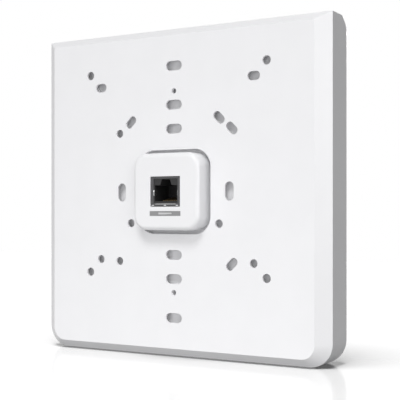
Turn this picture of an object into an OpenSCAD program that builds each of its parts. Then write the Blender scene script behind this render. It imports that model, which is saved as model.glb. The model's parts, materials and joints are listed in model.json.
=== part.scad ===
// Square wall and ceiling access point with a bevelled mounting plate and a central network port.
// +Z is up and +X is to the right as seen from the port side.
// The plate's wall face lies at y = 0, the unit reaches out along +Y and the port turret along -Y.
// The origin is the middle of the wall face.

/* [Body] */
// Overall width
body_width = 158; // [157.8:0.1:158.2]
// Overall height
body_height = 158; // [157.8:0.1:158.2]
// Width of the flat wall face
face_width = 145; // [144.5:0.5:146]
// Height of the flat wall face
face_height = 150; // [149.5:0.5:151]
// Depth of the mounting plate's bevelled rim
rim_depth = 5.5; // [5.5:0.1:5.8]
// Overall depth from the wall face to the front
body_depth = 26; // [25:0.5:28]
// Radius of the front edge and of the front top corners
front_edge_r = 5; // [4:0.5:8]
// Radius of the wall face's bottom corners
face_corner_r = 6.5; // [6:0.5:8]
// Radius of the body's bottom corners
body_corner_r = 11; // [10:0.5:12]
// Wall thickness of the front cover
cover_wall = 2; // [1.6:0.1:2.2]

/* [Mounting plate] */
// Thickness of the plate's flat sheet
sheet = 2.2; // [2:0.1:2.3]
// Width and height of the opening around the port turret
turret_opening = 40.3; // [39:0.1:41]
// Hole spacing of a single wall box
single_box = 60.3; // [60:0.1:61]
// Hole spacing of a tall wall box
tall_box = 83.3; // [83:0.1:84]
// Hole spacing of a double wall box
double_box = 120.6; // [120:0.1:121]
// Spacing of the two small pin holes
pin_hole_spacing = 96.4; // [96:0.1:97]
// Side of the outer square of round screw holes
outer_square = 98.6; // [98:0.1:99]
// Side of the second square of screw holes
second_square = 85.5; // [85:0.1:86]
// Diagonal of the small octagon box pattern
small_octagon = 69.85; // [69:0.05:70.5]
// Diagonal of the large octagon box pattern
large_octagon = 88.9; // [88:0.1:89.5]

/* [Port] */
// Width and height of the port turret
turret_size = 36.5; // [35:0.5:36.5]
// How far the turret stands out of the wall face
turret_reach = 7.9; // [7:0.1:8]
// Corner radius of the turret
turret_corner_r = 6.8; // [6:0.1:8]
// Radius of the turret's soft front edge
turret_edge_r = 2.2; // [1.5:0.1:2.5]
// Width of the port opening
port_w = 16.6; // [16.5:0.1:17]
// Height of the port opening
port_h = 14.3; // [14.2:0.1:14.6]

/* [Unit] */
// Width and height of the circuit board
board_size = 116; // [114:1:117]
// Distance of the cover screws from the centre line
screw_side = 64; // [63.5:0.5:64.5]
// How far out the snap posts stand in both directions
post_side = 63.5; // [63:0.5:64]

/* [Hidden] */
$fn = 64;

// A small overlap that keeps cuts clear of coincident faces
cut = 0.5;

// Plate
face_half = [face_width, face_height] / 2;
body_half = [body_width, body_height] / 2;
bevel_slope = (body_half - face_half) / rim_depth;
corner_slope = (body_corner_r - face_corner_r) / rim_depth;
top_corner_r = 0.8;
cover_corner_r = 0.05;
rim_wall = 2;
rim_step_y = 3.9;
opening_corner_r = 8.6;
square_centre_z = 9.6;
octagon_centre_z = -2.4;
long_slot = [8.9, 4.6];
short_slot = [6.4, 4.2];
angled_slot = [6.8, 4];
round_hole_r = 2;
outer_hole_r = 2.1;
pin_hole_r = 1.3;
sink_depth = 1;
sink_spread = 1.6;

// Layers of the unit along y
plate_gap = 0.5;
floor_y = sheet + plate_gap;
floor_wall = 2.2;
floor_top = floor_y + floor_wall;
relief_depth = 1.2;
relief_size = [116, 128];
relief_corner_r = 8;
cover_gap = 0.2;
cover_y = rim_depth + cover_gap;
flange_y = cover_y + 0.1;
flange_wall = 1.5;
shoulder_y = 16.5;
spreader_y = 5.4;
spreader_wall = 1.8;
spreader_top = spreader_y + spreader_wall;
board_y = 9.5;
board_wall = 1.6;
board_top = board_y + board_wall;
cover_inner_y = body_depth - cover_wall;

// Rear cover
floor_half = shrink(face_half, 1.8);
riser_wall = 2;
flange_half = shrink(body_half, cover_wall + cover_gap);
floor_corners = [2, 8];
screw_z = 25;
screw_places = [for (sx = [-1, 1], sz = [-1, 1]) [sx * screw_side, sz * screw_z]];
board_screw_side = 50;
board_screw_places = square_places(2 * board_screw_side, 0);
turret_half = turret_size / 2;
turret_wall = 2;
turret_face_y = -turret_reach;
turret_inner_y = turret_face_y + turret_wall;

// Screws
screw_r = 1.25;
screw_hole_r = 1.45;
pilot_r = screw_r + 0.02;
head_r = 2.5;
head_h = 1.6;
sunk_head_h = 1.2;
boss_r = 3.4;
boss_rib = [8.2, 1];
boss_rib_y = 16;
pilot_depth = 9;
sunk_screw_reach = 7;
sunk_driver_depth = 0.8;
pan_driver_depth = 0.9;
board_screw_start = 1.2;
driver_cross = [2.4, 0.6];
fit_gap = 0.1;

// Snap posts on the plate and the wire clips on the unit
post_places = square_places(2 * post_side, 0);
post_r = 2.5;
post_neck_r = 1.7;
post_neck_y = 5.1;
post_neck_h = 1.6;
post_top = 8.8;
post_hole_r = 3.4;
clip_wire_r = 0.45;
clip_y = post_neck_y + post_neck_h / 2;
clip_leg_x = post_neck_r + clip_wire_r + 0.05;
clip_leg_h = 3.5;

// Jack, counted from its own centre line
jack_w = 16.2;
jack_h = 13.9;
jack_face_y = turret_face_y + 0.5;
shell_wall = 0.3;
shell_opening = [13.4, 11.5];
shell_opening_z = 0.35;
body_w = jack_w - 2 * shell_wall - 0.1;
body_h = jack_h - 2 * shell_wall - 0.1;
body_face_y = jack_face_y + shell_wall;
plug_w = 12.4;
plug_low_z = -4.6;
plug_high_z = 3;
plug_depth = 12.5;
latch_low_w = 6.4;
latch_high_w = 4.4;
latch_high_z = 5.8;
contact_pitch = 1.02;
contact_count = 8;
contact_w = 0.45;
contact_wall = 0.3;
contact_root = [-3.5, -4.1];
contact_tip = [4.6, -2.5];

// Port label
label_w = 17.1;
label_h = 2.3;
label_z = -10.35;
label_recess = 0.15;
label_wall = 0.2;
gasket_wall = 1.5;
gasket_spread = 5;
rating_w = 22;
rating_h = 34;

// Reset
reset_z = -pin_hole_spacing / 2;
button_r = 1.5;
button_collar_r = 2.4;
button_y = 3.4;
button_collar_y = 5;
button_end_y = 6.3;
reset_pin_r = 1;
reset_guide_r = 4.2;
switch_size = 6;
switch_y = 7;
switch_stem_r = 1.6;

// Light
led_z = -52;
led_h = 0.9;
pipe_r = 1.5;
pipe_flange_r = 2.6;
pipe_gap = 0.3;

// Board and heat spreader
board_corner_r = 3;
peg_hole_x = 6.25;
peg_hole_z = -4;
peg_hole_r = 0.9;
spreader_size = 108;
spreader_corner_r = 4;
spreader_port_gap = 6;
spreader_port_r = 2;

// Parts on the board's front side
can_size = [26, 24];
can_corner_r = 1.5;
can_h = 2.6;
can_wall = 0.3;
network_transformer_place = [-4, 14];
network_transformer_size = [15, 10];
network_transformer_h = 5;
power_transformer_place = [-30, 32];
core_size = [5, 16];
core_side = 6;
core_h = 8;
bobbin_size = [8, 11];
bobbin_h = 7;
inductor_places = [[-46, 12], [-46, 0], [-46, -12]];
inductor_size = 8;
inductor_h = 4;
capacitor_places = [[-10, 34], [0, 34], [10, 34]];
capacitor_r = 3.2;
capacitor_h = 7.5;
vent_length = 5;
vent_width = 0.3;
vent_depth = 0.2;
crystal_places = [[-40, 38], [27, 38], [40, -24]];
crystal_size = [3.2, 2.5];
crystal_h = 0.8;
led_size = [2, 1.6];

// Antennas: how far out they stand, then width and height of each
antenna_side = 53;
antenna_wall = 0.3;
antenna_foot = 3;
antenna_leg = 2;
antenna_bridge = 4;
antenna_arch = 0.45;
antenna_slot = 0.8;
antenna_slot_at = 0.62;
antenna_2g_size = [18, 9];
antenna_5g_size = [12, 7.5];
antenna_6g_size = [10, 6.5];

// Chips on the board's rear side: place x, place z, width, height
chip_h = 1.4;
processor_place = [-27, 24, 19, 19];
memory_places = [[-27, 43, 13, 9], [-46, 24, 9, 13]];
flash_place = [-8, 31, 8, 6];
radio_places = [[27, 26, 11, 11], [27, -24, 11, 11], [-27, -24, 11, 11]];
power_controller_place = [8, 31, 7, 7];
memory_h = 1.1;
flash_h = 1;

// Half a width and half a height, less an even margin
function shrink(half, margin) = [half[0] - margin, half[1] - margin];

// A rectangle with exact round corners, larger at the bottom
module panel_outline(half, top_r, bottom_r) {
    translate([-half[0], -half[1] + bottom_r])
        square([2 * half[0], 2 * half[1] - top_r - bottom_r]);
    translate([-half[0] + top_r, half[1] - 2 * top_r])
        square([2 * (half[0] - top_r), 2 * top_r]);
    translate([-half[0] + bottom_r, -half[1]])
        square([2 * (half[0] - bottom_r), 2 * bottom_r]);
    for (side = [-1, 1]) {
        translate([side * (half[0] - top_r), half[1] - top_r]) circle(top_r);
        translate([side * (half[0] - bottom_r), -half[1] + bottom_r]) circle(bottom_r);
    }
}

// A centred rectangle with exact round corners
module round_rectangle(width, height, corner_r) {
    square([width - 2 * corner_r, height], center = true);
    square([width, height - 2 * corner_r], center = true);
    for (sx = [-1, 1], sz = [-1, 1])
        translate([sx * (width / 2 - corner_r), sz * (height / 2 - corner_r)])
            circle(corner_r);
}

// A slot outline, length first, along the first axis
module slot_outline(size) {
    square([size[0] - size[1], size[1]], center = true);
    for (side = [-1, 1])
        translate([side * (size[0] - size[1]) / 2, 0]) circle(d = size[1]);
}

// Stands a flat outline up in the XZ plane, from one y to another
module slab(from_y, to_y) {
    translate([0, to_y, 0]) rotate([90, 0, 0]) linear_extrude(to_y - from_y) children();
}

// A block from one y to another, centred on a place [x, z]
module block(place, width, height, from_y, to_y) {
    translate([place[0] - width / 2, from_y, place[1] - height / 2])
        cube([width, to_y - from_y, height]);
}

// A round bar along y, or a cone when a second radius is given
module bar(place, from_y, to_y, r, end_r = undef) {
    translate([place[0], from_y, place[1]]) rotate([-90, 0, 0])
        cylinder(h = to_y - from_y, r1 = r, r2 = is_undef(end_r) ? r : end_r);
}

function square_places(side, centre_z) =
    [for (sx = [-1, 1], sz = [-1, 1]) [sx * side / 2, centre_z + sz * side / 2]];

// The rim's outline at a depth, an even margin inside the bevel
module rim_outline(y, margin) {
    panel_outline(shrink(face_half + bevel_slope * y, margin), top_corner_r,
        face_corner_r + corner_slope * y - margin);
}

// The plate's bevelled outer form, drawn from beyond both ends and cut to its depth
module bevelled_block() {
    beyond = 1;
    intersection() {
        hull() for (y = [-beyond, rim_depth + beyond]) slab(y - 0.05, y) rim_outline(y, 0);
        slab(0, rim_depth) square(2 * max(body_width, body_height), center = true);
    }
}

// One screw slot through the sheet, with a sunk seat on the unit's side
module screw_slot(place, size, angle) {
    translate([place[0], 0, place[1]]) rotate([0, -angle, 0]) {
        slab(-cut, sheet + cut) slot_outline(size);
        slab(sheet - sink_depth, sheet + cut)
            slot_outline([size[0] + sink_spread, size[1] + sink_spread]);
    }
}

// One round screw hole through the sheet, with a cone seat on the unit's side
module screw_hole(place, r) {
    bar(place, -cut, sheet + cut, r);
    bar(place, sheet - sink_depth, sheet, r, r + sink_depth);
    bar(place, sheet, sheet + cut, r + sink_depth);
}

module plate_holes() {
    for (side = [-1, 1]) {
        for (spacing = [single_box, tall_box, double_box])
            screw_slot([0, side * spacing / 2], long_slot, 0);
        screw_slot([side * single_box / 2, 0], long_slot, 90);
        bar([0, side * pin_hole_spacing / 2], -cut, sheet + cut, pin_hole_r);
    }
    for (place = square_places(outer_square, square_centre_z))
        screw_hole(place, outer_hole_r);
    for (place = square_places(second_square, square_centre_z)) {
        if (place[1] > 0) screw_slot(place, short_slot, 0);
        else screw_hole(place, round_hole_r);
    }
    for (place = square_places(small_octagon / sqrt(2), square_centre_z)) {
        if (place[1] > 0) screw_slot(place, angled_slot, place[0] > 0 ? -45 : 45);
        else screw_hole(place, round_hole_r);
    }
    for (place = square_places(large_octagon / sqrt(2), octagon_centre_z)) {
        if (place[0] > 0) screw_slot(place, angled_slot, place[1] > 0 ? -45 : 45);
        else screw_hole(place, round_hole_r);
    }
}

// The space inside the rim from one depth outwards, a step at a time
module rim_cavity(from_y) {
    slab(from_y, rim_depth + cut) rim_outline(from_y, rim_wall);
}

// The plate screwed to the wall or ceiling, with a bevelled rim and four snap posts
module wall_plate() {
    color("white") {
        difference() {
            bevelled_block();
            rim_cavity(sheet);
            rim_cavity(rim_step_y);
            slab(-cut, sheet + cut)
                round_rectangle(turret_opening, turret_opening, opening_corner_r);
            plate_holes();
        }
        for (place = post_places) {
            bar(place, sheet, post_neck_y, post_r);
            bar(place, post_neck_y, post_neck_y + post_neck_h, post_neck_r);
            bar(place, post_neck_y + post_neck_h, post_top, post_r, post_neck_r);
        }
    }
}

// The turret's side view: straight behind and rounded at the front edge
module turret_profile(half) {
    flat = half - turret_edge_r;
    translate([0, turret_face_y]) square([flat, floor_top - turret_face_y]);
    translate([0, turret_face_y + turret_edge_r])
        square([half, floor_top - turret_face_y - turret_edge_r]);
    translate([flat, turret_face_y + turret_edge_r]) circle(turret_edge_r);
}

// A straight run of the turret along z between its corner centres
module turret_run(inset) {
    linear_extrude(2 * inset, center = true) {
        turret_profile(turret_half);
        mirror([1, 0]) turret_profile(turret_half);
    }
}

module turret_shape() {
    inset = turret_half - turret_corner_r;
    turret_run(inset);
    rotate([0, 90, 0]) turret_run(inset);
    for (sx = [-1, 1], sz = [-1, 1])
        translate([sx * inset, 0, sz * inset]) rotate([-90, 0, 0]) rotate_extrude()
            turret_profile(turret_corner_r);
}

// Outline of the rating label, with a margin round it
module rating_label_outline(margin) {
    translate([face_half[0] - rating_w, 0])
        round_rectangle(rating_w + 2 * margin, rating_h + 2 * margin, 1.5);
}

// Shallow recess behind the plate's holes, so that wall screw heads clear the rear shell
module screw_head_relief() {
    slab(floor_y - cut, floor_y + relief_depth) difference() {
        round_rectangle(relief_size[0], relief_size[1], relief_corner_r);
        round_rectangle(turret_size - 0.2, turret_size - 0.2, turret_corner_r - 0.1);
        for (place = concat(board_screw_places, [[0, reset_z]])) translate(place) circle(boss_r + 1);
        rating_label_outline(1);
    }
}

// The unit's rear shell: port turret, floor, riser and the flange that the front cover meets
module rear_cover() {
    color("whitesmoke") difference() {
        union() {
            slab(floor_y, floor_top) panel_outline(floor_half, floor_corners[0], floor_corners[1]);
            slab(floor_top - cut, flange_y + flange_wall) difference() {
                panel_outline(floor_half, floor_corners[0], floor_corners[1]);
                panel_outline(shrink(floor_half, riser_wall), 1, floor_corners[1] - riser_wall);
            }
            slab(flange_y, flange_y + flange_wall) difference() {
                panel_outline(flange_half, 1, body_corner_r - cover_wall - cover_gap);
                panel_outline(shrink(floor_half, cut), floor_corners[0], floor_corners[1] - cut);
            }
            turret_shape();
            for (place = board_screw_places) bar(place, floor_top - cut, spreader_y, boss_r);
            bar([0, reset_z], floor_top - cut, button_end_y - 0.4, reset_guide_r);
        }
        screw_head_relief();
        slab(turret_inner_y, floor_top + cut)
            round_rectangle(turret_size - 2 * turret_wall, turret_size - 2 * turret_wall,
                turret_corner_r - turret_wall);
        slab(turret_face_y - cut, turret_inner_y + cut)
            round_rectangle(port_w, port_h, 0.3);
        slab(turret_face_y - cut, turret_face_y + label_recess)
            translate([0, label_z]) square([label_w, label_h], center = true);
        for (place = screw_places) {
            bar(place, floor_y - cut, floor_top + cut, screw_hole_r);
            bar(place, floor_y, floor_y + sunk_head_h, head_r + 0.1, screw_hole_r);
        }
        for (place = post_places) bar(place, floor_y - cut, floor_top + cut, post_hole_r);
        for (place = board_screw_places) bar(place, floor_y + 0.7, spreader_y + cut, pilot_r);
        bar([0, reset_z], floor_y - cut, button_y, reset_pin_r);
        bar([0, reset_z], button_y - 0.1, button_collar_y, button_r + 0.1);
        bar([0, reset_z], button_collar_y - 0.1, button_end_y, button_collar_r + 0.1);
    }
}

// The front shell's outer form, drawn in by a wall thickness for the inside
module cover_form(inset) {
    half = shrink(body_half, inset);
    edge_r = front_edge_r - inset;
    corner_r = body_corner_r - inset;
    edge_y = body_depth - front_edge_r;
    hull() {
        slab(cover_y, shoulder_y) panel_outline(half, cover_corner_r, corner_r, $fn = 32);
        for (side = [-1, 1]) {
            translate([side * (half[0] - edge_r), edge_y, half[1] - edge_r])
                sphere(edge_r, $fn = 32);
            translate([side * (half[0] - corner_r), edge_y, -half[1] + corner_r])
                rotate([90, 0, 0]) rotate_extrude($fn = 32) intersection() {
                    translate([corner_r - edge_r, 0]) circle(edge_r, $fn = 32);
                    translate([0, -edge_r]) square([corner_r, 2 * edge_r]);
                }
        }
    }
}

// The front shell, open towards the rear cover, with four screw bosses
module front_cover() {
    color("white") difference() {
        union() {
            difference() {
                cover_form(0);
                cover_form(cover_wall);
                slab(cover_y - cut, cover_y + 1)
                    panel_outline(shrink(body_half, cover_wall), 0.5, body_corner_r - cover_wall);
            }
            for (place = screw_places) {
                bar(place, floor_top + fit_gap, cover_inner_y + cut, boss_r);
                for (angle = [0, 90])
                    translate([place[0], 0, place[1]]) rotate([0, angle, 0])
                        block([0, 0], boss_rib[0], boss_rib[1], boss_rib_y, cover_inner_y + cut);
            }
        }
        for (place = screw_places) bar(place, floor_top, floor_top + pilot_depth, pilot_r);
        bar([0, led_z], cover_inner_y - cut, body_depth + cut, pipe_r + 0.05);
    }
}

// Wire clips in the unit that grip the necks of the plate's posts
module spring_clips() {
    color("silver") for (place = post_places) translate([place[0], clip_y, place[1]]) {
        for (side = [-1, 1])
            translate([side * clip_leg_x, 0, -clip_leg_h]) cylinder(h = 2 * clip_leg_h, r = clip_wire_r);
        translate([0, 0, clip_leg_h]) rotate([90, 0, 0]) rotate_extrude(angle = 180)
            translate([clip_leg_x, 0]) circle(clip_wire_r);
    }
}

// Sunk screws that join the rear cover to the front cover
module cover_screws() {
    color("dimgray") for (place = screw_places) difference() {
        union() {
            bar(place, floor_y + fit_gap, floor_y + sunk_head_h, head_r, screw_r);
            bar(place, floor_y + sunk_head_h, floor_top + sunk_screw_reach, screw_r);
        }
        cross_slot(place, floor_y, floor_y + sunk_driver_depth);
    }
}

// Pan-head screws through the board and the heat spreader into the rear cover
module board_screws() {
    color("silver") for (place = board_screw_places) difference() {
        union() {
            bar(place, board_top, board_top + head_h, head_r);
            bar(place, floor_y + board_screw_start, board_top, screw_r);
        }
        cross_slot(place, board_top + head_h - pan_driver_depth, board_top + head_h + cut);
    }
}

// The driver's cross in a screw head
module cross_slot(place, from_y, to_y) {
    block(place, driver_cross[0], driver_cross[1], from_y, to_y);
    block(place, driver_cross[1], driver_cross[0], from_y, to_y);
}

// A blank grey strip below the port
module port_label() {
    color("darkgray") block([0, label_z], label_w - fit_gap, label_h - fit_gap,
        turret_face_y + label_recess - label_wall, turret_face_y + label_recess);
}

// A blank label on the rear cover, behind the plate
module rating_label() {
    color("gainsboro") slab(floor_y - label_wall, floor_y) rating_label_outline(0);
}

// A foam frame that closes the gap between the jack and the turret
module port_gasket() {
    color("dimgray") slab(turret_inner_y, turret_inner_y + gasket_wall) difference() {
        round_rectangle(jack_w + gasket_spread, jack_h + gasket_spread, gasket_wall);
        square([jack_w + fit_gap, jack_h + fit_gap], center = true);
    }
}

// The jack's metal shield, folded in at the front
module jack_shell() {
    color("silver") difference() {
        block([0, 0], jack_w, jack_h, jack_face_y, board_y);
        block([0, 0], jack_w - 2 * shell_wall, jack_h - 2 * shell_wall,
            jack_face_y + shell_wall, board_y + cut);
        block([0, shell_opening_z], shell_opening[0], shell_opening[1],
            jack_face_y - cut, jack_face_y + cut);
    }
}

module latch_notch(from_y, to_y) {
    slab(from_y, to_y) polygon([[-latch_low_w / 2, plug_high_z - cut],
        [latch_low_w / 2, plug_high_z - cut], [latch_low_w / 2, plug_high_z],
        [latch_high_w / 2, latch_high_z], [-latch_high_w / 2, latch_high_z],
        [-latch_low_w / 2, plug_high_z]]);
}

// The jack's dark moulding with the plug cavity and the latch notch
module jack_body() {
    color("dimgray") difference() {
        block([0, 0], body_w, body_h, body_face_y, board_y);
        block([0, (plug_low_z + plug_high_z) / 2], plug_w, plug_high_z - plug_low_z,
            body_face_y - cut, body_face_y + plug_depth);
        latch_notch(body_face_y - cut, body_face_y + plug_depth);
        contact_strips(0.05);
    }
}

// Eight sprung strips that rise from the cavity's floor and lead back to the board
module contact_strips(grow) {
    front = contact_root - [grow, 0];
    for (i = [0 : contact_count - 1])
        translate([(i - contact_count / 2 + 0.5) * contact_pitch - contact_w / 2 - grow, 0, 0])
            rotate([90, 0, 90]) linear_extrude(contact_w + 2 * grow) polygon([
                front + [0, grow],
                contact_tip + [0, grow],
                [board_y, contact_tip[1] + grow],
                [board_y, contact_tip[1] - contact_wall - grow],
                contact_tip - [0, contact_wall + grow],
                front - [0, contact_wall + grow]]);
}

module jack_contacts() {
    color("gold") contact_strips(0);
}

// The circuit board, with screw holes and two peg holes for the jack
module main_board() {
    color("seagreen") difference() {
        slab(board_y, board_top) round_rectangle(board_size, board_size, board_corner_r);
        for (place = board_screw_places) bar(place, board_y - cut, board_top + cut, screw_hole_r);
        for (side = [-1, 1])
            bar([side * peg_hole_x, peg_hole_z], board_y - cut, board_top + cut, peg_hole_r);
    }
}

// The cast plate that carries heat from the chips, with pillars for the board
module heat_spreader() {
    color("lightgray") difference() {
        union() {
            slab(spreader_y, spreader_top) round_rectangle(spreader_size, spreader_size, spreader_corner_r);
            for (place = board_screw_places) bar(place, spreader_top - cut, board_y, boss_r);
        }
        slab(spreader_y - cut, spreader_top + cut)
            round_rectangle(jack_w + spreader_port_gap, jack_h + spreader_port_gap, spreader_port_r);
        for (place = board_screw_places) bar(place, spreader_y - cut, board_y + cut, screw_hole_r);
        bar([0, reset_z], spreader_y - cut, spreader_top + cut, switch_size / 2 + 2);
    }
}

// A chip on the board's rear side, given as [x, z, width, height] and its thickness
module chip(place, thickness) {
    block(place, place[2], place[3], board_y - thickness, board_y);
}

// A soft pad from the spreader to a chip
module pad(place) {
    block(place, place[2] - 2, place[3] - 2, spreader_top, board_y - chip_h);
}

module thermal_pads() {
    color("lightblue") {
        pad(processor_place);
        pad(power_controller_place);
        for (place = radio_places) pad(place);
    }
}

module processor() {
    color("black") chip(processor_place, chip_h);
}

module memory_chips() {
    color("black") for (place = memory_places) chip(place, memory_h);
}

module flash_chip() {
    color("black") chip(flash_place, flash_h);
}

module radio_chips() {
    color("black") for (place = radio_places) chip(place, chip_h);
}

module power_controller() {
    color("black") chip(power_controller_place, chip_h);
}

module crystals() {
    color("silver") for (place = crystal_places)
        slab(board_y - crystal_h, board_y) translate(place)
            round_rectangle(crystal_size[0], crystal_size[1], crystal_h / 2);
}

// Pressed cans over the radio sections on the board's front side
module shield_cans() {
    color("silver") for (place = radio_places) difference() {
        slab(board_top, board_top + can_h) translate([place[0], place[1]])
            round_rectangle(can_size[0], can_size[1], can_corner_r);
        slab(board_top - cut, board_top + can_h - can_wall) translate([place[0], place[1]])
            round_rectangle(can_size[0] - 2 * can_wall, can_size[1] - 2 * can_wall,
                can_corner_r - can_wall);
    }
}

module network_transformer() {
    color("black") slab(board_top, board_top + network_transformer_h)
        translate(network_transformer_place)
            round_rectangle(network_transformer_size[0], network_transformer_size[1], 0.5);
}

// A square-bodied transformer with a wound bobbin between two core halves
module power_transformer() {
    color("dimgray") {
        for (side = [-1, 1])
            block(power_transformer_place + [side * core_side, 0], core_size[0], core_size[1],
                board_top, board_top + core_h);
        block(power_transformer_place, bobbin_size[0], bobbin_size[1],
            board_top, board_top + bobbin_h);
    }
}

module power_inductors() {
    color("dimgray") for (place = inductor_places)
        slab(board_top, board_top + inductor_h) translate(place)
            round_rectangle(inductor_size, inductor_size, can_corner_r);
}

module power_capacitors() {
    color("silver") for (place = capacitor_places) difference() {
        top = board_top + capacitor_h;
        bar(place, board_top, top, capacitor_r);
        block(place, vent_length, vent_width, top - vent_depth, top + cut);
        block(place, vent_width, vent_length, top - vent_depth, top + cut);
    }
}

// A folded sheet antenna: an upright plate with a slot and a foot on the board
module antenna(place, size) {
    width = size[0];
    height = size[1];
    translate([place[0], board_top, place[1]]) {
        difference() {
            translate([-width / 2, 0, 0]) cube([width, height, antenna_wall]);
            translate([-width / 2 + antenna_leg, -cut, -cut])
                cube([width - antenna_foot - antenna_leg, antenna_arch * height + cut,
                    antenna_wall + 2 * cut]);
            translate([-width / 2 + antenna_bridge, antenna_slot_at * height, -cut])
                cube([width, antenna_slot, antenna_wall + 2 * cut]);
        }
        translate([width / 2 - antenna_foot, 0, 0]) cube([antenna_foot, antenna_wall, antenna_foot]);
    }
}

module antenna_2g() {
    color("goldenrod") for (i = [0 : 3])
        rotate([0, 90 * i, 0]) antenna([-30, antenna_side], antenna_2g_size);
}

module antenna_5g() {
    color("goldenrod") for (turn = [0, 90, 270])
        rotate([0, turn, 0]) antenna([0, antenna_side], antenna_5g_size);
}

module antenna_6g() {
    color("goldenrod") for (i = [0 : 3])
        rotate([0, 90 * i, 0]) antenna([22, antenna_side], antenna_6g_size);
}

module status_led() {
    color("white") block([0, led_z], led_size[0], led_size[1], board_top, board_top + led_h);
}

// A clear rod that carries the light to the front face
module light_pipe() {
    color("aliceblue") {
        bar([0, led_z], board_top + led_h + pipe_gap, body_depth, pipe_r);
        bar([0, led_z], cover_inner_y - 1.25, cover_inner_y - 0.05, pipe_flange_r);
    }
}

// The switch on the board that the reset button presses
module reset_switch() {
    color("black") {
        slab(switch_y, board_y) translate([0, reset_z]) square(switch_size, center = true);
        bar([0, reset_z], button_end_y + 0.6, switch_y + cut, switch_stem_r);
    }
}

// The stepped button that a pin pushes through the plate's lower pin hole
module reset_button() {
    color("gainsboro") {
        bar([0, reset_z], button_y + 0.02, button_collar_y + 0.1, button_r);
        bar([0, reset_z], button_collar_y + 0.02, button_end_y, button_collar_r);
    }
}

wall_plate();
rear_cover();
front_cover();
spring_clips();
cover_screws();
board_screws();
port_label();
rating_label();
port_gasket();
jack_shell();
jack_body();
jack_contacts();
main_board();
heat_spreader();
thermal_pads();
processor();
memory_chips();
flash_chip();
radio_chips();
power_controller();
crystals();
shield_cans();
network_transformer();
power_transformer();
power_inductors();
power_capacitors();
antenna_2g();
antenna_5g();
antenna_6g();
status_led();
light_pipe();
reset_switch();
reset_button();
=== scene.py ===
import json
import math

import bmesh
import bpy
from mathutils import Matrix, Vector


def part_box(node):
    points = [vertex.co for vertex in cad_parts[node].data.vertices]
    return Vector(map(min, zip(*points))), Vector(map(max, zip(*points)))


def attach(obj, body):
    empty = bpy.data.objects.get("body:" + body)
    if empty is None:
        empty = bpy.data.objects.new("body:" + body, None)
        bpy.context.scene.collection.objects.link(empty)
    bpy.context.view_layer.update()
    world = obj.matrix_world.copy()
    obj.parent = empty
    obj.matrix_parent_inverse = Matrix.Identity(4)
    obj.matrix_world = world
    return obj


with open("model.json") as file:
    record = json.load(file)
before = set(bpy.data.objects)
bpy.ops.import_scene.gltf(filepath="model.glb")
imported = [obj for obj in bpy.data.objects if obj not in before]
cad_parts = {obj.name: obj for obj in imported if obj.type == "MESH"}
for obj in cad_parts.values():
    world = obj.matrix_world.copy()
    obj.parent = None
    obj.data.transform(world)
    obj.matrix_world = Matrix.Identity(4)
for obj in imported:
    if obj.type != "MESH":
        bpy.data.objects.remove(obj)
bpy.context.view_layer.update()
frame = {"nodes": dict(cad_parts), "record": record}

MM = 0.001
SCENE = bpy.context.scene

# The plate stands on the floor, and the front cover's side wall is its right-hand end
FLOOR_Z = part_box("wall_plate")[0].z
SIDE_WALL_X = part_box("front_cover")[1].x

# Camera, in metres and degrees: a level view from the port side, turned towards +X
CAMERA_PLACE = (0.2377, -0.3813, -0.0105)
CAMERA_TURN = 30.34
CAMERA_LENS = 84.65
CAMERA_SHIFT_Y = 0.0345

# What the room gives: light on the object, light in its reflections, and the way the light comes
AMBIENT = 0.04
DOME = 0.72
DOME_WAY = (0.04, -0.97, 0.16)
MIRRORED = 0.95

# Lamps, each with its place in metres and its power in watts
ORIGIN = (0, 0, 0)
KEY_PLACE = (0.48, -1.6, 1.8)
KEY_SIZE = 0.8
KEY_POWER = 25.6
SHEEN_PLACE = (0.95, -0.3, 0.3)
SHEEN_TARGET = (0.07, 0, 0)
SHEEN_SIZE = 0.8
SHEEN_POWER = 8
BEHIND_PLACE = (-0.5, 1.6, 0.8)
BEHIND_SIZE = 0.9
BEHIND_POWER = 34
EDGE_PLACE = (0.95, -0.8, 0.3)
EDGE_SIZE = 0.6
EDGE_POWER = 2.4
LIFT_PLACE = (0.0, -0.2, -0.17)
LIFT_SIZE = 0.3
LIFT_POWER = 0.19
RISE_PLACE = (0.34, 0.0, -0.17)
RISE_SIZE = 0.2
RISE_POWER = 0.08

# The floor and the strong soft sun that only the floor takes
FLOOR_HALF = 0.9
SUN_PLACE = (0, -0.3, 1.4)
SUN_STRENGTH = 17
SUN_SOFTNESS = 30


def make_camera():
    """A level camera, on the port side and turned towards +X."""
    data = bpy.data.cameras.new("camera")
    data.sensor_width = 36
    data.lens = CAMERA_LENS
    data.shift_y = CAMERA_SHIFT_Y
    data.clip_start = 0.01
    camera = bpy.data.objects.new("camera", data)
    camera.location = CAMERA_PLACE
    camera.rotation_euler = (math.radians(90), 0, math.radians(CAMERA_TURN))
    SCENE.collection.objects.link(camera)
    SCENE.camera = camera


make_camera()


# ---------------------------------------------------------------- materials

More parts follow.
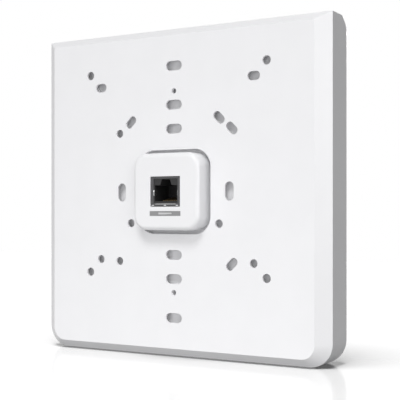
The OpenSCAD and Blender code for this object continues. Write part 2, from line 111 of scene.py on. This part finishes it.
class Nodes:
    """A short way to write a material's node tree around its principled shader."""

    finishes = {}

    def __init__(self, name):
        self.material = bpy.data.materials.new(name)
        self.material.use_nodes = True
        self.tree = self.material.node_tree
        self.shader = self.tree.nodes["Principled BSDF"]
        self.finishes[name] = self.material

    def add(self, kind, **values):
        made = self.tree.nodes.new(kind)
        for key, value in values.items():
            if key.startswith("in_"):
                made.inputs[key[3:].replace("_", " ")].default_value = value
            else:
                setattr(made, key, value)
        return made

    def link(self, source, target):
        self.tree.links.new(source, target)

    def set(self, **values):
        for key, value in values.items():
            self.shader.inputs[key.replace("_", " ")].default_value = value

    def noise(self, scale, detail=3, roughness=0.5):
        made = self.add("ShaderNodeTexNoise", in_Scale=scale, in_Detail=detail,
                        in_Roughness=roughness)
        self.link(self.coordinates(), made.inputs["Vector"])
        return made.outputs["Fac"]

    def coordinates(self):
        return self.add("ShaderNodeTexCoord").outputs["Object"]

    def spread(self, source, low, high, target, start=0.35, end=0.65):
        """Maps a pattern to a range of values or colours and feeds a socket of the shader."""
        if isinstance(low, tuple):
            ramp = self.add("ShaderNodeValToRGB")
            ramp.color_ramp.elements[0].position = start
            ramp.color_ramp.elements[1].position = end
            ramp.color_ramp.elements[0].color = (*low, 1)
            ramp.color_ramp.elements[1].color = (*high, 1)
            self.link(source, ramp.inputs["Fac"])
            self.link(ramp.outputs["Color"], self.shader.inputs[target])
            return
        scaled = self.add("ShaderNodeMapRange")
        scaled.inputs["From Min"].default_value = start
        scaled.inputs["From Max"].default_value = end
        scaled.inputs["To Min"].default_value = low
        scaled.inputs["To Max"].default_value = high
        self.link(source, scaled.inputs["Value"])
        self.link(scaled.outputs["Result"], self.shader.inputs[target])

    def bump(self, source, strength, distance):
        made = self.add("ShaderNodeBump", in_Strength=strength, in_Distance=distance)
        self.link(source, made.inputs["Height"])
        self.link(made.outputs["Normal"], self.shader.inputs["Normal"])


def shade(value, tint=0.0):
    """A near-neutral colour; a positive tint is a little cooler."""
    return (value, value, value * (1 + tint))


def moulded_plastic(name, value, roughness, grain=2600, depth=0.02, tint=0.018):
    """Spark-eroded moulded plastic: fine even grain with a faint cloudiness."""
    nodes = Nodes(name)
    nodes.set(IOR=1.46)
    nodes.spread(nodes.noise(60, 2), shade(value * 0.985, tint), shade(value, tint), "Base Color")
    nodes.spread(nodes.noise(900, 2), roughness - 0.04, roughness + 0.04, "Roughness")
    nodes.bump(nodes.noise(grain, 2, 0.6), depth, 0.0001)
    return nodes.material


def sheet_metal(name, colour, roughness, stretch=(1, 1, 30)):
    """Rolled or drawn metal with faint lines along one direction."""
    nodes = Nodes(name)
    nodes.set(Metallic=1.0)
    scaled = nodes.add("ShaderNodeMapping")
    scaled.inputs["Scale"].default_value = stretch
    nodes.link(nodes.coordinates(), scaled.inputs["Vector"])
    lines = nodes.add("ShaderNodeTexNoise", in_Scale=220.0, in_Detail=4.0)
    nodes.link(scaled.outputs["Vector"], lines.inputs["Vector"])
    dark = tuple(c * 0.82 for c in colour)
    nodes.spread(lines.outputs["Fac"], dark, colour, "Base Color")
    nodes.spread(lines.outputs["Fac"], roughness - 0.06, roughness + 0.08, "Roughness")
    nodes.bump(lines.outputs["Fac"], 0.06, 0.0001)
    return nodes.material


def board_laminate():
    """Green solder resist over a copper pattern that shows as a paler grid of tracks."""
    nodes = Nodes("board_laminate")
    nodes.set(IOR=1.5)
    tracks = nodes.add("ShaderNodeTexVoronoi", in_Scale=420.0)
    tracks.distance = "CHEBYCHEV"
    nodes.link(nodes.coordinates(), tracks.inputs["Vector"])
    nodes.spread(tracks.outputs["Distance"], (0.01, 0.09, 0.045), (0.02, 0.16, 0.08),
                 "Base Color", 0.3, 0.5)
    nodes.spread(nodes.noise(500), 0.22, 0.34, "Roughness")
    nodes.bump(tracks.outputs["Distance"], 0.1, 0.0001)
    return nodes.material


def clear_plastic():
    nodes = Nodes("clear_plastic")
    nodes.set(IOR=1.49, Transmission_Weight=0.9)
    nodes.spread(nodes.noise(300), 0.05, 0.16, "Roughness")
    nodes.spread(nodes.noise(80), (0.9, 0.93, 0.95), (0.96, 0.97, 0.98), "Base Color")
    return nodes.material


def soft_rubber(name, colour):
    """Open-pored foam or a soft filled pad."""
    nodes = Nodes(name)
    dark = tuple(c * 0.7 for c in colour)
    nodes.spread(nodes.noise(1500, 4), dark, colour, "Base Color")
    nodes.spread(nodes.noise(700), 0.75, 0.95, "Roughness")
    nodes.bump(nodes.noise(2500, 3), 0.3, 0.0002)
    return nodes.material


# Every finish, in the name of the record's material slot that takes it
moulded_plastic("plate_plastic", 0.86, 0.42)
moulded_plastic("cover_plastic", 0.86, 0.34)
moulded_plastic("front_plastic", 0.81, 0.40)
moulded_plastic("grey_print", 0.3, 0.5)
moulded_plastic("label_paper", 0.7, 0.3)
moulded_plastic("jack_plastic", 0.02, 0.5, tint=0.02)
moulded_plastic("chip_resin", 0.02, 0.5)
moulded_plastic("ferrite", 0.03, 0.65, grain=1500, depth=0.1)
moulded_plastic("led_resin", 0.75, 0.2)
moulded_plastic("button_plastic", 0.6, 0.4)
STEEL = sheet_metal("spring_steel", (0.62, 0.62, 0.62), 0.3)
sheet_metal("screw_steel", (0.5, 0.5, 0.51), 0.35)
sheet_metal("shield_metal", (0.13, 0.13, 0.134), 0.34)
sheet_metal("cast_aluminium", (0.66, 0.67, 0.68), 0.55, (1, 1, 1))
sheet_metal("capacitor_can", (0.7, 0.7, 0.72), 0.28)
sheet_metal("antenna_brass", (0.75, 0.6, 0.32), 0.3)
sheet_metal("gold_plate", (0.42, 0.31, 0.17), 0.35)
soft_rubber("foam_rubber", (0.05, 0.05, 0.052))
soft_rubber("thermal_rubber", (0.35, 0.48, 0.62))
board_laminate()
clear_plastic()

# Two finishes for the added details, which no slot has
BRIGHT = sheet_metal("bright_spring", (0.75, 0.75, 0.76), 0.2)
MARK_GREY = moulded_plastic("mark_print", 0.62, 0.5)


# Edge radii in millimetres
EDGE_RADIUS = {"wall_plate": 0.35, "rear_cover": 0.3, "front_cover": 0.3, "main_board": 0.1,
               "heat_spreader": 0.4, "jack_shell": 0.06, "jack_contacts": 0.05, "port_label": 0.05}
SMALL_EDGE_RADIUS = 0.12


def dress_cad_nodes():
    """Gives each carried-over node its finish, and the small edge radii moulds and tools leave."""
    for part in frame["record"]["subparts"]:
        piece = frame["nodes"][part["node"]]
        piece.data.materials.clear()
        piece.data.materials.append(Nodes.finishes[part["material_slot"]])
        for face in piece.data.polygons:
            face.use_smooth = True
        piece.modifiers.new("weld", "WELD").merge_threshold = 0.002 * MM
        flat = piece.modifiers.new("flat_faces", "DECIMATE")
        flat.decimate_type = "DISSOLVE"
        flat.angle_limit = math.radians(0.6)
        edges = piece.modifiers.new("edges", "BEVEL")
        edges.width = EDGE_RADIUS.get(part["node"], SMALL_EDGE_RADIUS) * MM
        edges.segments = 3
        edges.limit_method = "ANGLE"
        edges.angle_limit = math.radians(28)
        edges.miter_outer = "MITER_ARC"
        normals = piece.modifiers.new("normals", "WEIGHTED_NORMAL")
        normals.keep_sharp = True
        normals.weight = 100


dress_cad_nodes()


# ---------------------------------------------------------------- details on the unit

def new_piece(name, mesh, finish):
    """A detail that rides on the unit, shaded smooth with its edges kept crisp."""
    piece = bpy.data.objects.new(name, mesh)
    SCENE.collection.objects.link(piece)
    mesh.materials.append(finish)
    for face in mesh.polygons:
        face.use_smooth = True
    piece.modifiers.new("normals", "WEIGHTED_NORMAL").keep_sharp = True
    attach(piece, "unit")
    return piece


def leaf_mesh(name, path, across, width, thickness):
    """Thin sheet bent along a path; each step has a front and a back edge across the width."""
    mesh = bpy.data.meshes.new(name)
    bm = bmesh.new()
    rows = []
    for index, point in enumerate(path):
        ahead = path[min(index + 1, len(path) - 1)] - path[max(index - 1, 0)]
        out = ahead.cross(across).normalized() * thickness / 2
        taper = 1 - 0.25 * index / (len(path) - 1)
        side = across * width / 2 * taper
        corners = (out - side, out + side, side - out, -side - out)
        rows.append([bm.verts.new(point + corner) for corner in corners])
    for low, high in zip(rows, rows[1:]):
        for k in range(4):
            bm.faces.new((low[k], low[(k + 1) % 4], high[(k + 1) % 4], high[k]))
    bm.faces.new(rows[0][::-1])
    bm.faces.new(rows[-1])
    bmesh.ops.recalc_face_normals(bm, faces=bm.faces)
    bm.to_mesh(mesh)
    bm.free()
    return mesh


def dome_mesh(name, centre, half_x, half_z, height, rings=5, steps=20):
    """A low pressed dimple that stands out towards the wall face."""
    mesh = bpy.data.meshes.new(name)
    bm = bmesh.new()
    rows = []
    for ring in range(rings):
        angle = math.pi / 2 * ring / rings
        spread, rise = math.cos(angle), math.sin(angle)
        rows.append([bm.verts.new(centre + Vector((
            half_x * spread * math.cos(math.tau * k / steps), -height * rise,
            half_z * spread * math.sin(math.tau * k / steps)))) for k in range(steps)])
    top = bm.verts.new(centre + Vector((0, -height, 0)))
    for low, high in zip(rows, rows[1:]):
        for k in range(steps):
            bm.faces.new((low[k], low[(k + 1) % steps], high[(k + 1) % steps], high[k]))
    for k in range(steps):
        bm.faces.new((rows[-1][k], rows[-1][(k + 1) % steps], top))
    bm.faces.new(rows[0][::-1])
    bmesh.ops.recalc_face_normals(bm, faces=bm.faces)
    bm.to_mesh(mesh)
    bm.free()
    return mesh


# The jack's added details, in millimetres unless a share of its width
LEAF_REACH = 6.7
LEAF_BULGE = 0.55
LEAF_DEPTH = 2.6
LEAF_WIDTH = 2.6
LEAF_WALL = 0.16
LEAF_DROP = 0.6
LEAF_SET_BACK = 0.1
LEAF_TURN = math.pi * 0.75
LEAF_STEPS = 12
DIMPLE_SHARES = (("a", -0.44), ("b", -0.02), ("c", 0.39))
DIMPLE_RISE = 0.42
DIMPLE_HALF_X = 0.75
DIMPLE_HALF_Z = 0.3
DIMPLE_HEIGHT = 0.2
HEM_RISE = 1.05
HEM_ROLL = 0.16
HEM_SET_BACK = 0.12
HEM_SHARE = 0.8
HEM_WALL = 0.08
HEM_STEPS = 8
MARK_SHARE = 0.22
MARK_HEIGHT = 0.95
MARK_WALL = 0.03
MARK_STEPS = 6


def jack_details():
    """Grounding leaves at the port's sides, and pressed dimples and a rolled hem at its foot."""
    low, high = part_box("jack_shell")
    front = low.y
    width = high.x - low.x
    middle_z = (low.z + high.z) / 2
    for name, side in (("left", -1), ("right", 1)):
        path = []
        for k in range(LEAF_STEPS + 1):
            bulge = LEAF_BULGE * MM * math.sin(LEAF_TURN * k / LEAF_STEPS)
            path.append(Vector((side * (LEAF_REACH * MM - bulge),
                                front + LEAF_SET_BACK * MM + LEAF_DEPTH * MM * k / LEAF_STEPS,
                                middle_z - LEAF_DROP * MM)))
        mesh = leaf_mesh("jack_leaf_" + name, path, Vector((0, 0, 1)), LEAF_WIDTH * MM,
                         LEAF_WALL * MM)
        new_piece("jack_leaf_" + name, mesh, BRIGHT)
    for name, share in DIMPLE_SHARES:
        centre = Vector((share * width, front, low.z + DIMPLE_RISE * MM))
        mesh = dome_mesh("jack_dimple_" + name, centre, DIMPLE_HALF_X * MM, DIMPLE_HALF_Z * MM,
                         DIMPLE_HEIGHT * MM)
        new_piece("jack_dimple_" + name, mesh, BRIGHT)
    hem = []
    for k in range(HEM_STEPS + 1):
        turn = math.pi * k / HEM_STEPS
        hem.append(Vector((0, front + HEM_SET_BACK * MM - HEM_ROLL * MM * math.sin(turn),
                           low.z + HEM_RISE * MM - HEM_ROLL * MM * math.cos(turn))))
    mesh = leaf_mesh("jack_hem", hem, Vector((1, 0, 0)), width * HEM_SHARE, HEM_WALL * MM)
    new_piece("jack_hem", mesh, STEEL)


def label_mark():
    """A plain paler bar in the middle of the strip under the port, with no lettering."""
    low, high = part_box("port_label")
    middle = (low + high) / 2
    reach = (high.x - low.x) * MARK_SHARE
    path = [Vector((middle.x + reach * k / MARK_STEPS, low.y - 0.005 * MM, middle.z))
            for k in range(-MARK_STEPS, MARK_STEPS + 1)]
    mesh = leaf_mesh("port_label_mark", path, Vector((0, 0, 1)), MARK_HEIGHT * MM, MARK_WALL * MM)
    new_piece("port_label_mark", mesh, MARK_GREY)


jack_details()
label_mark()


# ---------------------------------------------------------------- room and light

def area_light(name, place, target, side, power):
    """A square soft box that faces a target."""
    data = bpy.data.lights.new(name, "AREA")
    data.shape = "RECTANGLE"
    data.size = side
    data.size_y = side
    data.energy = power
    lamp = bpy.data.objects.new(name, data)
    lamp.location = place
    aim = Vector(target) - Vector(place)
    lamp.rotation_euler = aim.to_track_quat("-Z", "Y").to_euler()
    SCENE.collection.objects.link(lamp)
    return lamp


def make_floor():
    """A plain floor under its own strong lamp, large enough to fill the view's lower part."""
    half = FLOOR_HALF
    mesh = bpy.data.meshes.new("floor")
    corners = [(-half, -half), (half, -half), (half, half), (-half, half)]
    mesh.from_pydata([(x, y, FLOOR_Z) for x, y in corners], [], [(0, 1, 2, 3)])
    floor = bpy.data.objects.new("floor", mesh)
    SCENE.collection.objects.link(floor)
    nodes = Nodes("floor_white")
    nodes.set(IOR=1.3)
    nodes.spread(nodes.noise(3, 1), shade(0.19), shade(0.2), "Base Color")
    nodes.spread(nodes.noise(5, 1), 0.12, 0.16, "Roughness")
    mesh.materials.append(nodes.material)
    floor.visible_diffuse = False
    floor.visible_shadow = False
    return floor


def light_only(lamp, *lit):
    """The lamp lights only these objects; the group that holds them is given back."""
    group = bpy.data.collections.new(lamp.name + "_lit")
    for thing in lit:
        group.objects.link(thing)
    lamp.light_linking.receiver_collection = group
    return group


def make_room():
    """A room that is white to the camera and in reflections, and gives its light from the front."""
    world = bpy.data.worlds.new("studio")
    SCENE.world = world
    world.use_nodes = True
    tree = world.node_tree
    back = tree.nodes["Background"]
    back.inputs["Color"].default_value = (1, 1, 1, 1)
    ray = tree.nodes.new("ShaderNodeLightPath")
    way = tree.nodes.new("ShaderNodeTexCoord")
    front = tree.nodes.new("ShaderNodeVectorMath")
    front.operation = "DOT_PRODUCT"
    front.inputs[1].default_value = Vector(DOME_WAY).normalized()
    tree.links.new(way.outputs["Generated"], front.inputs[0])
    dome = tree.nodes.new("ShaderNodeMapRange")
    dome.inputs["To Min"].default_value = AMBIENT
    dome.inputs["To Max"].default_value = AMBIENT + DOME
    tree.links.new(front.outputs["Value"], dome.inputs["Value"])
    strength = dome.outputs["Result"]
    for kind, level in (("Is Glossy Ray", MIRRORED), ("Is Camera Ray", 1.0)):
        step = tree.nodes.new("ShaderNodeMapRange")
        step.inputs["To Max"].default_value = level
        tree.links.new(ray.outputs[kind], step.inputs["Value"])
        tree.links.new(strength, step.inputs["To Min"])
        strength = step.outputs["Result"]
    tree.links.new(strength, back.inputs["Strength"])


def make_lamps(floor):
    """Soft boxes for the object, and a soft sun for the floor alone."""
    nodes = frame["nodes"]
    things = [o for o in SCENE.objects if o.type in {"MESH", "CURVE"} and o != floor]
    light_only(area_light("key", KEY_PLACE, ORIGIN, KEY_SIZE, KEY_POWER), *things)
    sheen = area_light("sheen", SHEEN_PLACE, SHEEN_TARGET, SHEEN_SIZE, SHEEN_POWER)
    sheen.visible_diffuse = False
    light_only(sheen, *things)
    light_only(area_light("behind", BEHIND_PLACE, ORIGIN, BEHIND_SIZE, BEHIND_POWER), *things)
    edge = area_light("edge", EDGE_PLACE, ORIGIN, EDGE_SIZE, EDGE_POWER)
    light_only(edge, nodes["wall_plate"], nodes["rear_cover"])
    lift = area_light("lift", LIFT_PLACE, ORIGIN, LIFT_SIZE, LIFT_POWER)
    lift.visible_glossy = False
    lift.light_linking.blocker_collection = light_only(lift, *things)
    rise = area_light("rise", RISE_PLACE, (SIDE_WALL_X, 0, 0), RISE_SIZE, RISE_POWER)
    rise.visible_glossy = False
    rise.light_linking.blocker_collection = light_only(rise, nodes["front_cover"])
    over = area_light("over_floor", SUN_PLACE, (0, 0, FLOOR_Z), 1, 1)
    over.data.type = "SUN"
    over.data.energy = SUN_STRENGTH
    over.data.angle = math.radians(SUN_SOFTNESS)
    light_only(over, floor)


floor = make_floor()
make_room()
make_lamps(floor)
SCENE.view_settings.view_transform = "Standard"
